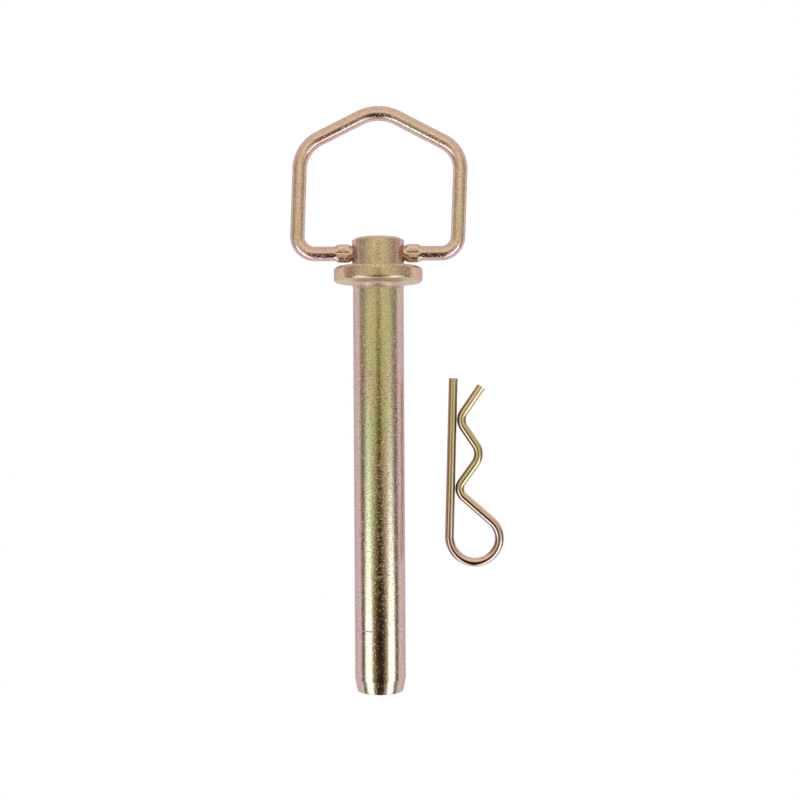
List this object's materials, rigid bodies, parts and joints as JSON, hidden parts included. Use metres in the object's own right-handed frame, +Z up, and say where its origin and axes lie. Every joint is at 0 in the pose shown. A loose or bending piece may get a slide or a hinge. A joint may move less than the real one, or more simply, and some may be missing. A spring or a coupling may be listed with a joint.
{
  "type": "hitch pin with swivel handle and R-clip",
  "caption": "Round hitch pin with a collar and head boss, a swinging pentagonal wire handle, and a loose R-clip that passes through a cross-hole near the tip.",
  "frame": {"origin": "on the surface that the set lies on, under the middle of the whole set's bounding box", "axes": "+Y along the pin towards its head, in plan; +X across the pin towards the side where the clip lies; +Z up from the surface. The pin rests on its collar's rim and its tip, so its own axis rises 2.75 degrees towards the head."},
  "size_m": [0.094, 0.2558, 0.0389],
  "materials": {
    "pin_plate": "yellow chromate zinc plate over a forged surface, finely pitted, faint green and pink iridescence",
    "handle_plate": "yellow chromate zinc plate on drawn wire, pinkish beige",
    "clip_plate": "yellow chromate zinc plate on smooth spring wire, warmer gold"
  },
  "bodies": {
    "pin": {"hitch_pin": "pin_plate"},
    "handle": {"swivel_handle": "handle_plate"},
    "clip": {"clip_straight_leg": "clip_plate"},
    "clip_spring": {"clip_spring_leg": "clip_plate"}
  },
  "joints": [
    {"name": "handle_swing", "type": "hinge", "parent": "pin", "child": "handle", "pos_m": [-0.00849, 0.06343, 0.01993], "axis": [1, 0, 0], "range_deg": [-166, 166]},
    {"name": "clip_lift", "type": "slide", "parent": "pin", "child": "clip", "axis": [0, 0, 1], "range_m": [0, 0.05]},
    {"name": "clip_spread", "type": "hinge", "parent": "clip", "child": "clip_spring", "pos_m": [0.03159, -0.07255, 0.002], "axis": [0, 0, -1], "range_deg": [0, 9], "stiffness_Nm_per_rad": 20}
  ]
}
